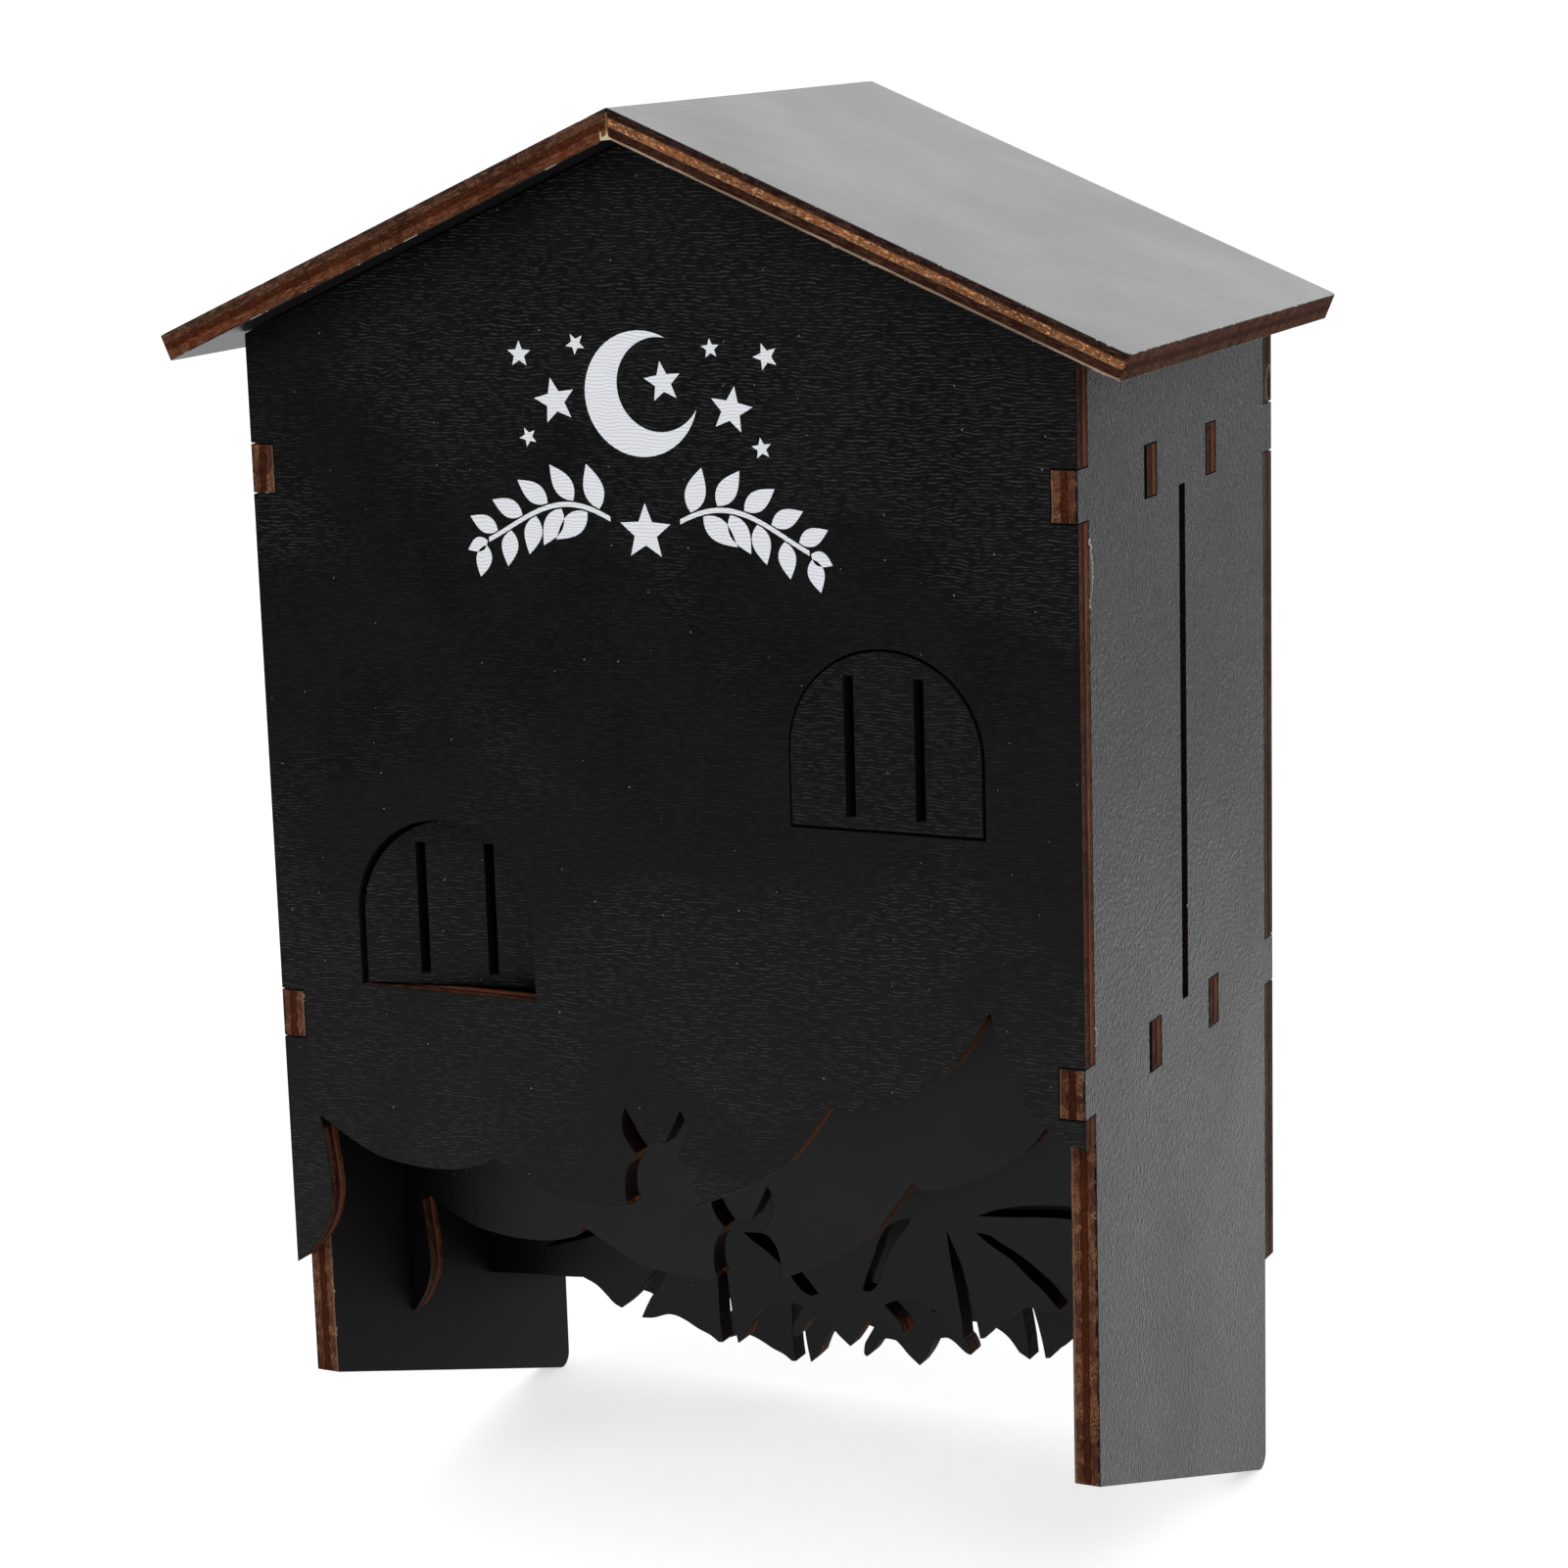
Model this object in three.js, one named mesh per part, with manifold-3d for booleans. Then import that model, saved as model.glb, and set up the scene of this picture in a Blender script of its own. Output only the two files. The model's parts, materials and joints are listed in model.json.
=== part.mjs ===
// A bat box of laser-cut plywood boards: four bat-edged layers between two side boards, under a gable roof.
// Lengths are in millimetres and angles in degrees. +Z is up and the front faces -Y.
// The pieces are laid out on a bench, where the front face is at y = 0 and the lowest leg tip at z = 0,
// and the bench is then moved so that the origin lies on the back of the box, where it meets the wall.
import * as THREE from 'three';
import { mergeVertices } from 'three/addons/utils/BufferGeometryUtils.js';
import Module from 'manifold-3d';

const wasm = await Module();
wasm.setup();

// The box
const boxWidth = 200;
const boxDepth = 124;
const eaveHeight = 284.9;
const roofPitch = 23.2;
const boardThickness = 6;
const wallMountHeight = 170;
const cutOverrun = 12;

// Tabs of the boards, and the notches and slots that take them
const lowerTabBase = 121.4;
const upperTabDrop = 36;
const tabHeight = 11.1;
const tabClearance = 0.25;

// Side boards
const legFrontHeight = 36.8;
const legTipRadius = 3.5;
const ventFront = 60.8;
const ventWidth = 3.6;

// Baffles between the side boards
const frontBaffleSetback = 40.7;
const frontSlotSlack = 1.5;
const rearBaffleSetback = 78.7;
const rearSlotSlack = 0.5;
const baffleTopDrop = 12.9;
const baffleEdgeGap = 0.2;

// Roof boards
const roofThickness = 6;
const roofLength = 125.9;
const roofFrontOverhang = 11;
const roofGlueGap = 0.3;
const roofCornerRadius = 1.5;
const ridgeSeam = 0.3;

// Windows and their flaps
const windowWidth = 45.5;
const windowHeight = 40.1;
const leftWindowInset = 22.2;
const leftWindowSill = 135.7;
const rightWindowInset = 21.7;
const rightWindowSill = 180.6;
const hingeKerf = 0.25;
const flapKerf = 0.6;
const leftFlapAngle = 12;
const rightFlapAngle = 0;
const paneSlotWidth = 2.15;
const paneSlotLength = 30.7;
const paneSlotRise = 3.2;
const firstPaneSlot = 13.3;
const secondPaneSlot = 29.6;

// Keyhole in the back
const keyholeRise = 5.1;
const keyholeHeadRadius = 4.5;
const keyholeNeckRadius = 2.25;
const keyholeNeckLength = 10;

// The bats that the layers' lower edges draw, and where each layer holds its bat's middle
const perchedBatTilt = 13.4;
const perchedBatOffset = -6.45;
const perchedBatHeight = 122.95;
const perchedBatStepAcross = 1;
const perchedBatStepDown = 30;
const headLean = -10;
const flyingBatTilt = 8.3;
const flyingBatOffset = 5.7;
const flyingBatHeight = 39.5;
const flyingBatStepAcross = 0.95;
const flyingBatStepDown = 18.6;
const bodySlitLean = 2.8;

// How finely round stretches are cut into straight ones
const curveSteps = 3;
const arcSteps = 24;

// The wing's upper edge, from the shoulder out past the wing tip, as shares of the half span.
// Each row is one smooth stretch, and rows meet in corners.
const upperWingShares = [
  [[0.156, -0.314], [0.208, -0.300], [0.271, -0.280], [0.325, -0.253], [0.4435, -0.151]],
  [[0.4435, -0.151], [0.466, -0.170]],
  [[0.466, -0.170], [0.537, -0.174], [0.634, -0.157], [0.738, -0.117], [0.807, -0.065], [0.8735, 0]],
  [[0.8735, 0], [0.877, -0.058], [0.893, -0.178], [0.914, -0.233], [0.946, -0.276], [0.988, -0.312],
    [1.047, -0.342]],
];

// Half of the head, from the middle of its top round the ear and down the cheek to the jaw. The head leans
// against the tilt of the wings, so its shares count from the line between its ear tips.
const headShares = [
  [[0, -0.083], [0.021, -0.081]],
  [[0.021, -0.081], [0.048, -0.040], [0.069, 0]],
  [[0.069, 0], [0.078, -0.019], [0.080, -0.052], [0.071, -0.078], [0.052, -0.104]],
  [[0.052, -0.104], [0.077, -0.142], [0.086, -0.173], [0.087, -0.212], [0.079, -0.228]],
];
const headMiddleShares = [0.005, -0.101];

// The bat's lower edge, from the tip of its tail out past the last scallop of the wing.
const lowerEdgeShares = [
  [[0, -0.081], [0.026, -0.053], [0.042, -0.030], [0.055, -0.014]],
  [[0.055, -0.014], [0.075, -0.009], [0.093, -0.010], [0.110, -0.023]],
  [[0.110, -0.023], [0.132, -0.047], [0.146, -0.055]],
  [[0.146, -0.055], [0.152, -0.046], [0.145, -0.020], [0.132, -0.003], [0.112, 0.023]],
  [[0.112, 0.023], [0.138, 0.032], [0.170, 0.033], [0.195, 0.030], [0.220, 0.020], [0.242, 0.006],
    [0.262, -0.015], [0.281, -0.049]],
  [[0.281, -0.049], [0.306, -0.068]],
  [[0.306, -0.068], [0.363, -0.065]],
  [[0.363, -0.065], [0.384, -0.046], [0.413, -0.030], [0.441, -0.010], [0.469, 0.005], [0.496, 0.009],
    [0.535, 0.001], [0.570, 0.002]],
  [[0.570, 0.002], [0.622, 0.028]],
  [[0.622, 0.028], [0.643, 0.042], [0.662, 0.066], [0.685, 0.091], [0.719, 0.111]],
];

// How the lower edge runs on from there to the side boards: lower on the baffle than on the back panel.
const baffleRunShares = [[0.719, 0.111], [0.774, 0.114], [0.873, 0.123], [0.951, 0.128], [1.080, 0.135]];
const backRunShares = [[0.719, 0.111], [0.746, 0.127], [0.790, 0.141], [0.873, 0.160], [0.951, 0.176],
  [1.080, 0.184]];

// The slits that draw the bat's body and the fingers of its wing, each one closed outline.
const bodySlitShares = [
  [[0.062, 0.060], [0.080, 0.093], [0.111, 0.141], [0.133, 0.180], [0.157, 0.207], [0.184, 0.222],
    [0.228, 0.227]],
  [[0.228, 0.227], [0.210, 0.206], [0.183, 0.182], [0.153, 0.149], [0.126, 0.109], [0.105, 0.072],
    [0.080, 0.055]],
  [[0.080, 0.055], [0.062, 0.060]],
];
const firstFingerSlitShares = [
  [[0.308, -0.120], [0.309, -0.060], [0.311, -0.020], [0.310, 0.050], [0.307, 0.120], [0.308, 0.202]],
  [[0.308, 0.202], [0.316, 0.175], [0.331, 0.122], [0.336, 0.078], [0.343, 0.030], [0.348, -0.020],
    [0.350, -0.062], [0.352, -0.120]],
  [[0.352, -0.120], [0.308, -0.120]],
];
const secondFingerSlitShares = [
  [[0.570, -0.060], [0.570, 0.002]],
  [[0.570, 0.002], [0.537, 0.050], [0.502, 0.087], [0.466, 0.130], [0.418, 0.167], [0.386, 0.198]],
  [[0.386, 0.198], [0.418, 0.191], [0.440, 0.174], [0.474, 0.151], [0.512, 0.120], [0.548, 0.086],
    [0.590, 0.050], [0.622, 0.028]],
  [[0.622, 0.028], [0.622, -0.060]],
  [[0.622, -0.060], [0.570, -0.060]],
];
const thirdFingerSlitShares = [
  [[0.400, 0.241], [0.457, 0.255], [0.530, 0.261], [0.593, 0.259], [0.636, 0.255], [0.720, 0.235],
    [0.810, 0.195]],
  [[0.810, 0.195], [0.720, 0.209], [0.631, 0.227], [0.550, 0.234], [0.478, 0.236], [0.400, 0.241]],
];
const fingerSlitShares = [firstFingerSlitShares, secondFingerSlitShares, thirdFingerSlitShares];

// Sizes that follow from the ones above
const halfWidth = boxWidth / 2;
const innerHalfWidth = halfWidth - boardThickness;
const pitch = THREE.MathUtils.degToRad(roofPitch);
const apexHeight = eaveHeight + halfWidth * Math.tan(pitch);
const ridgeHeight = apexHeight + (roofGlueGap + roofThickness) / Math.cos(pitch);
const batHalfSpan = halfWidth;
const upperTabBase = eaveHeight - upperTabDrop;
const tabBases = [lowerTabBase, upperTabBase];
const notchHeight = tabHeight + 2 * tabClearance;
const leftWindowEdge = leftWindowInset - halfWidth;
const rightWindowEdge = halfWidth - rightWindowInset - windowWidth;
const keyholeHeight = eaveHeight + keyholeRise;

const blackLaminate = { color: 0x1b1b1c, roughness: 0.45, metalness: 0 };
const roofLaminate = { color: 0x1f1f21, roughness: 0.3, metalness: 0 };

// Points

function point(x, y) {
  return new THREE.Vector2(x, y);
}

function rectangle(left, bottom, width, height) {
  return [
    point(left, bottom),
    point(left + width, bottom),
    point(left + width, bottom + height),
    point(left, bottom + height),
  ];
}

// Points along an arc about a centre, both ends included.
function arc(centreX, centreY, radius, fromDegrees, toDegrees) {
  const from = THREE.MathUtils.degToRad(fromDegrees);
  const to = THREE.MathUtils.degToRad(toDegrees);
  const curve = new THREE.EllipseCurve(centreX, centreY, radius, radius, from, to, to < from);
  return curve.getPoints(arcSteps);
}

// The points of smooth stretches that meet in corners, each corner kept once.
function drawStretches(stretches, size) {
  return stretches.flatMap((stretch) => {
    const stations = stretch.map(([x, y]) => point(x * size, y * size));
    const steps = stations.length > 2 ? (stations.length - 1) * curveSteps : 1;
    return new THREE.SplineCurve(stations).getPoints(steps).slice(0, -1);
  });
}

function lastStation(stretches, size) {
  const [x, y] = stretches.at(-1).at(-1);
  return point(x * size, y * size);
}

// The points seen in a mirror that stands on the y axis, in the order that keeps the outline's sense.
function mirrored(points) {
  return points.map(({ x, y }) => point(-x, y)).reverse();
}

// Moves points from the bat's own middle to where a layer holds it.
function placed(points, bat) {
  const turn = THREE.MathUtils.degToRad(bat.tilt);
  const middle = point(bat.across, bat.height);
  return points.map((p) => p.clone().rotateAround(point(0, 0), turn).add(middle));
}

// Solids

// A flat piece whose outline lies in x and y and whose thickness runs from zero along z.
function plate(outline, thickness) {
  return new THREE.ExtrudeGeometry(new THREE.Shape(outline), { depth: thickness, bevelEnabled: false });
}

function solidFrom(geometry) {
  const bare = geometry.clone();
  bare.deleteAttribute('normal');
  bare.deleteAttribute('uv');
  const merged = mergeVertices(bare);
  const vertProperties = merged.attributes.position.array;
  const triVerts = new Uint32Array(merged.index.array);
  return new wasm.Manifold(new wasm.Mesh({ numProp: 3, vertProperties, triVerts }));
}

function geometryFrom(solid) {
  const { vertProperties, triVerts } = solid.getMesh();
  const geometry = new THREE.BufferGeometry();
  geometry.setAttribute('position', new THREE.BufferAttribute(new Float32Array(vertProperties), 3));
  geometry.setIndex(new THREE.BufferAttribute(new Uint32Array(triVerts), 1));
  const faceted = geometry.toNonIndexed();
  faceted.computeVertexNormals();
  return faceted;
}

// Cuts outlines right through a plate.
function cutThrough(board, outlines, thickness) {
  let solid = solidFrom(board);
  for (const outline of outlines) {
    const cutter = plate(outline, thickness + 2 * cutOverrun);
    cutter.translate(0, 0, -cutOverrun);
    solid = solid.subtract(solidFrom(cutter));
  }
  return geometryFrom(solid);
}

// Keeps what two geometries have in common.
function common(first, second) {
  return geometryFrom(solidFrom(first).intersect(solidFrom(second)));
}

function named(name, geometry, finish) {
  const mesh = new THREE.Mesh(geometry, new THREE.MeshStandardMaterial({ ...finish, flatShading: true }));
  mesh.name = name;
  return mesh;
}

// Stands a plate up across the box: its x stays across, its y goes up, and its thickness runs backwards.
function standAcross(geometry, setback, thickness) {
  geometry.rotateX(Math.PI / 2);
  geometry.translate(0, setback + thickness, 0);
  return geometry;
}

// Stands a plate up along the box: its x goes backwards, its y goes up, and its thickness runs across.
function standAlong(geometry, left) {
  const turn = new THREE.Matrix4().makeBasis(
    new THREE.Vector3(0, 1, 0),
    new THREE.Vector3(0, 0, 1),
    new THREE.Vector3(1, 0, 0),
  );
  geometry.applyMatrix4(turn);
  geometry.translate(left, 0, 0);
  return geometry;
}

// Layers with a bat's edge

// One half of an edge, with its last point.
function drawHalf(edgeShares) {
  return [...drawStretches(edgeShares, batHalfSpan), lastStation(edgeShares, batHalfSpan)];
}

// The upper edge of a perched bat, from the left end to the right one, in the bat's own frame.
function upperEdge() {
  const wing = drawHalf(upperWingShares);
  const halfHead = drawHalf(headShares);
  const [across, height] = headMiddleShares.map((share) => share * batHalfSpan);
  const head = placed([...mirrored(halfHead).slice(0, -1), ...halfHead], { tilt: headLean, across, height });
  return [...mirrored(wing), ...head, ...wing];
}

// The lower edge of a flying bat, in the same order and frame.
function lowerEdge(runShares) {
  const half = drawHalf([...lowerEdgeShares, runShares]);
  return [...mirrored(half).slice(0, -1), ...half];
}

// The outline of all that lies under a bat's edge, which runs on level past both ends of the board.
function underEdge(ownEdge, bat) {
  const edge = placed(ownEdge, bat);
  const leftEnd = edge[0];
  const rightEnd = edge.at(-1);
  return [
    point(rightEnd.x + cutOverrun, rightEnd.y),
    ...edge.reverse(),
    point(leftEnd.x - cutOverrun, leftEnd.y),
    point(leftEnd.x - cutOverrun, -eaveHeight),
    point(rightEnd.x + cutOverrun, -eaveHeight),
  ];
}

function slitPair(shares, bat) {
  const slit = drawStretches(shares, batHalfSpan);
  return [placed(slit, bat), placed(mirrored(slit), bat)];
}

function flyingBatSlits(bat) {
  const body = { ...bat, tilt: bat.tilt + bodySlitLean };
  return [...slitPair(bodySlitShares, body), ...fingerSlitShares.flatMap((shares) => slitPair(shares, bat))];
}

// The house-shaped outline of the front and back, notched at both edges for the side boards' tabs.
function gableOutline() {
  const rightEdge = [point(halfWidth, 0)];
  for (const base of tabBases) {
    const bottom = base - tabClearance;
    rightEdge.push(
      point(halfWidth, bottom),
      point(innerHalfWidth, bottom),
      point(innerHalfWidth, bottom + notchHeight),
      point(halfWidth, bottom + notchHeight),
    );
  }
  rightEdge.push(point(halfWidth, eaveHeight));
  return [...rightEdge, point(0, apexHeight), ...mirrored(rightEdge)];
}

// The outline of a baffle, with two tabs at each edge that reach through the side boards.
function baffleOutline() {
  const edge = innerHalfWidth - baffleEdgeGap;
  const rightEdge = [point(edge, 0)];
  for (const base of tabBases) {
    rightEdge.push(
      point(edge, base),
      point(halfWidth, base),
      point(halfWidth, base + tabHeight),
      point(edge, base + tabHeight),
    );
  }
  rightEdge.push(point(edge, eaveHeight - baffleTopDrop));
  return [...rightEdge, ...mirrored(rightEdge)];
}

// A window's outline: straight sides up to a half-round top.
function archOutline(left, bottom, width, height) {
  const radius = width / 2;
  const springing = bottom + height - radius;
  return [
    point(left, bottom),
    point(left + width, bottom),
    ...arc(left + radius, springing, radius, 0, 180),
  ];
}

function keyholeOutline() {
  const openingDegrees = THREE.MathUtils.radToDeg(Math.asin(keyholeNeckRadius / keyholeHeadRadius));
  const neckTop = keyholeHeight + keyholeNeckLength;
  return [
    ...arc(0, neckTop, keyholeNeckRadius, 0, 180),
    ...arc(0, keyholeHeight, keyholeHeadRadius, 90 + openingDegrees, 450 - openingDegrees),
  ];
}

const perchedBat = { tilt: perchedBatTilt, across: perchedBatOffset, height: perchedBatHeight };
const lowerPerchedBat = {
  tilt: perchedBatTilt,
  across: perchedBatOffset + perchedBatStepAcross,
  height: perchedBatHeight - perchedBatStepDown,
};
const flyingBat = { tilt: flyingBatTilt, across: flyingBatOffset, height: flyingBatHeight };
const lowerFlyingBat = {
  tilt: flyingBatTilt,
  across: flyingBatOffset + flyingBatStepAcross,
  height: flyingBatHeight - flyingBatStepDown,
};

function frontPanel() {
  const windows = [
    archOutline(leftWindowEdge, leftWindowSill, windowWidth, windowHeight),
    archOutline(rightWindowEdge, rightWindowSill, windowWidth, windowHeight),
  ];
  const gable = plate(gableOutline(), boardThickness);
  const board = cutThrough(gable, [underEdge(upperEdge(), perchedBat), ...windows], boardThickness);
  return named('front_panel', standAcross(board, 0, boardThickness), blackLaminate);
}

function frontBaffle() {
  const blank = plate(baffleOutline(), boardThickness);
  const board = cutThrough(blank, [underEdge(upperEdge(), lowerPerchedBat)], boardThickness);
  return named('front_baffle', standAcross(board, frontBaffleSetback, boardThickness), blackLaminate);
}

function rearBaffle() {
  const blank = plate(baffleOutline(), boardThickness);
  const bat = [underEdge(lowerEdge(baffleRunShares), flyingBat), ...flyingBatSlits(flyingBat)];
  const board = cutThrough(blank, bat, boardThickness);
  return named('rear_baffle', standAcross(board, rearBaffleSetback, boardThickness), blackLaminate);
}

function backPanel() {
  const gable = plate(gableOutline(), boardThickness);
  const bat = [underEdge(lowerEdge(backRunShares), lowerFlyingBat), ...flyingBatSlits(lowerFlyingBat)];
  const board = cutThrough(gable, [...bat, keyholeOutline()], boardThickness);
  return named('back_panel', standAcross(board, boxDepth - boardThickness, boardThickness), blackLaminate);
}

// Side boards

function tabSlot(setback, slack, base) {
  const front = setback - slack;
  const depth = slack + boardThickness + tabClearance;
  return rectangle(front, base - tabClearance, depth, notchHeight);
}

// A side board from the front, its tabs reaching the outer faces of the front and back panels.
function sideOutline() {
  const front = boardThickness;
  const back = boxDepth - boardThickness;
  const slope = THREE.MathUtils.radToDeg(Math.atan2(legFrontHeight, back - front));
  const tipBack = back - legTipRadius;
  const tipHeight = legTipRadius;
  const outline = [point(front, legFrontHeight), ...arc(tipBack, tipHeight, legTipRadius, 270 - slope, 360)];
  for (const base of tabBases) {
    outline.push(
      point(back, base),
      point(boxDepth, base),
      point(boxDepth, base + tabHeight),
      point(back, base + tabHeight),
    );
  }
  outline.push(point(back, eaveHeight), point(front, eaveHeight));
  for (const base of [...tabBases].reverse()) {
    outline.push(
      point(front, base + tabHeight),
      point(0, base + tabHeight),
      point(0, base),
      point(front, base),
    );
  }
  return outline;
}

function sideBoard(name, left) {
  const ventBase = lowerTabBase + tabHeight;
  const slots = tabBases.flatMap((base) => [
    tabSlot(frontBaffleSetback, frontSlotSlack, base),
    tabSlot(rearBaffleSetback, rearSlotSlack, base),
  ]);
  const vent = rectangle(ventFront, ventBase, ventWidth, upperTabBase - ventBase);
  const board = cutThrough(plate(sideOutline(), boardThickness), [vent, ...slots], boardThickness);
  return named(name, standAlong(board, left), blackLaminate);
}

// Roof boards

// The right roof board: cut plumb at the ridge and square at the eave, with two rounded eave corners.
function roofBoardGeometry() {
  const seam = ridgeSeam / 2;
  const along = point(Math.cos(pitch), -Math.sin(pitch));
  const inward = point(-Math.sin(pitch), -Math.cos(pitch)).multiplyScalar(roofThickness);
  const ridge = point(0, ridgeHeight);
  const eaveTop = ridge.clone().addScaledVector(along, roofLength);
  const eaveBottom = eaveTop.clone().add(inward);
  const drop = seam * Math.tan(pitch);
  const section = [
    point(seam, ridgeHeight - drop),
    point(seam, ridgeHeight - drop - roofThickness / Math.cos(pitch)),
    eaveBottom,
    eaveTop,
  ];
  const depth = boxDepth + roofFrontOverhang;
  const board = standAcross(plate(section, depth), -roofFrontOverhang, depth);

  const far = roofLength - roofCornerRadius;
  const plan = [
    point(-cutOverrun, 0),
    ...arc(far, roofCornerRadius, roofCornerRadius, 270, 360),
    ...arc(far, depth - roofCornerRadius, roofCornerRadius, 0, 90),
    point(-cutOverrun, depth),
  ];
  const trimmer = plate(plan, roofThickness + 2 * cutOverrun);
  trimmer.translate(0, -roofFrontOverhang, -roofThickness - cutOverrun);
  trimmer.rotateY(pitch);
  trimmer.translate(0, 0, ridgeHeight);
  return common(board, trimmer);
}

function roofBoard(name, side) {
  const geometry = roofBoardGeometry();
  if (side < 0) geometry.rotateZ(Math.PI).translate(0, boxDepth - roofFrontOverhang, 0);
  return named(name, geometry, roofLaminate);
}

// Window flaps

// A flap in its own frame: the hinge line is the z axis, at the rear edge of the flap.
function windowFlap(name, windowEdge, windowSill, angle) {
  const width = windowWidth - hingeKerf - flapKerf;
  const height = windowHeight - 2 * flapKerf;
  const slotBottom = paneSlotRise - flapKerf;
  const slots = [firstPaneSlot, secondPaneSlot].map((offset) =>
    rectangle(offset - hingeKerf, slotBottom, paneSlotWidth, paneSlotLength),
  );
  const arch = plate(archOutline(0, 0, width, height), boardThickness);
  const geometry = standAcross(cutThrough(arch, slots, boardThickness), -boardThickness, boardThickness);
  const flap = named(name, geometry, blackLaminate);
  const hinge = new THREE.Group();
  hinge.position.set(windowEdge + hingeKerf, boardThickness, windowSill + flapKerf);
  hinge.rotation.z = THREE.MathUtils.degToRad(angle);
  hinge.add(flap);
  return hinge;
}

// The assembly

const bench = new THREE.Group();
bench.add(
  frontPanel(),
  windowFlap('left_window_flap', leftWindowEdge, leftWindowSill, leftFlapAngle),
  windowFlap('right_window_flap', rightWindowEdge, rightWindowSill, rightFlapAngle),
  frontBaffle(),
  rearBaffle(),
  backPanel(),
  sideBoard('left_side_board', -halfWidth),
  sideBoard('right_side_board', innerHalfWidth),
  roofBoard('left_roof_board', -1),
  roofBoard('right_roof_board', 1),
);
bench.position.set(0, -boxDepth, -wallMountHeight);

const group = new THREE.Group();
group.add(bench);

export default group;
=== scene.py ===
# A bat box of black laminated plywood with laser-cut, scorched edges, on a pale studio floor.
# Lengths are in metres in the frame of the part: +X to the right, +Y towards the wall, +Z up.
import json
import math

import bmesh
import bpy
from mathutils import Euler, Matrix, Vector
from mathutils.bvhtree import BVHTree


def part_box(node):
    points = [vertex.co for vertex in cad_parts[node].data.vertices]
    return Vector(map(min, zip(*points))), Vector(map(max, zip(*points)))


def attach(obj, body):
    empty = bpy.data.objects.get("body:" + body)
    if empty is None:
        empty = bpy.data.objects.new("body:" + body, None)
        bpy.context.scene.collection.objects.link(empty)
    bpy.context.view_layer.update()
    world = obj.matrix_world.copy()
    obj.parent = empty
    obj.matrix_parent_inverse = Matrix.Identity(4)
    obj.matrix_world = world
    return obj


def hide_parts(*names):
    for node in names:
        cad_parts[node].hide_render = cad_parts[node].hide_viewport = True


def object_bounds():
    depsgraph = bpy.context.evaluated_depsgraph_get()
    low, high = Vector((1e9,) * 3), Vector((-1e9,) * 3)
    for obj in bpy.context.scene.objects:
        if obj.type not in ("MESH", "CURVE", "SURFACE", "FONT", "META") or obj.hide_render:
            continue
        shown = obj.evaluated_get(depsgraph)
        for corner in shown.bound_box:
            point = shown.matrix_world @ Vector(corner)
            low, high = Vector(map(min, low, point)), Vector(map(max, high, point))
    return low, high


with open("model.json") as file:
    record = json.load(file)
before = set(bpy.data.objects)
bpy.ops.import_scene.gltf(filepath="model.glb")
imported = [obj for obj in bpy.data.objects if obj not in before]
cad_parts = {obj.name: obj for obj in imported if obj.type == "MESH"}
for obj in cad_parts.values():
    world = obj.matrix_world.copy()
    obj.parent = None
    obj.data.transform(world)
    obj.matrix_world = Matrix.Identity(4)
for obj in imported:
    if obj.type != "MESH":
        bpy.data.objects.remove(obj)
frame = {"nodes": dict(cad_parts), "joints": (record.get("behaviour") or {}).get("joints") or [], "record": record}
cad_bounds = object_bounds()

MM = 0.001

# The boards, and how each one faces: degrees about the upright axis for the walls, the pitch for the roof
BOARD_THICKNESS = 6 * MM
ROOF_PITCH = math.radians(23.2)
LEFT_FLAP_ANGLE = 12
FRONT_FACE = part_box("front_panel")[0].y
LEFT_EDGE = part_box("front_panel")[0].x
RIGHT_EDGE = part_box("front_panel")[1].x
FLOOR_HEIGHT = cad_bounds[0].z

# How a board is eased: the width of its arris, the distance at which its points merge, the angle below which
# faces join into one, and the angle from which an edge is sharp
ARRIS = 0.16 * MM
WELD = 0.1 * MM
FLAT_ANGLE = math.radians(0.1)
SHARP_ANGLE = math.radians(30)

# Material slots of every board piece
OUTER, INNER, EDGE, EAVE, SLOT_WALL, ARRIS_FINISH = range(6)

# The widest gap that is a slot whose walls get charred plies darkened as painted shade, and how far off a wall the
# search for the other one starts
NARROW_SLOT = 4.6 * MM
CLEAR_OF_FACE = 0.05 * MM

# Where the laminate is torn, on the right side board and on the right edge of the back panel: middle and
# reach in the board's own space, where a reach of a metre takes in the whole thickness
SIDE_TEARS = (
    ((-118.0 * MM, 68.0 * MM, 0.0), (2.2 * MM, 7.0 * MM, 1.0)),
    ((-118.0 * MM, -31.6 * MM, 0.0), (1.6 * MM, 1.9 * MM, 1.0)),
)
BACK_EDGE_TEARS = (((100.0 * MM, 93.8 * MM, -4.0 * MM), (1.0 * MM, 5.0 * MM, 1.7 * MM)),)

# The print on the front: heights of its two rows, half its width, how far it stands out of the board and
# reaches into it, and its stars as the place across, the rise over the moon's middle, the reach and the tilt
PRINT_MOON_HEIGHT = 103.5 * MM
PRINT_SPRIG_HEIGHT = 73.5 * MM
PRINT_HALF_WIDTH = 43 * MM
PRINT_PROUD = 0.05 * MM
PRINT_SUNK = 0.02 * MM
PRINT_STARS = (
    (-21, -2, 5.2, 12), (21.5, -3, 5.2, -10), (-29.5, 8, 3.0, 0), (30, 8.5, 3.0, 20),
    (-15.5, 10.5, 2.4, 30), (17, 10, 2.2, 5), (-28, -10, 2.2, 25), (28.5, -11, 2.4, 8),
)

# Heights up the front between which its grain, with the glints painted on its crests, fades: out of the gable, and
# again out of the lower part
GABLE_GRAIN = (50 * MM, 112 * MM)
LOWER_GRAIN = (-22 * MM, 12 * MM)
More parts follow.
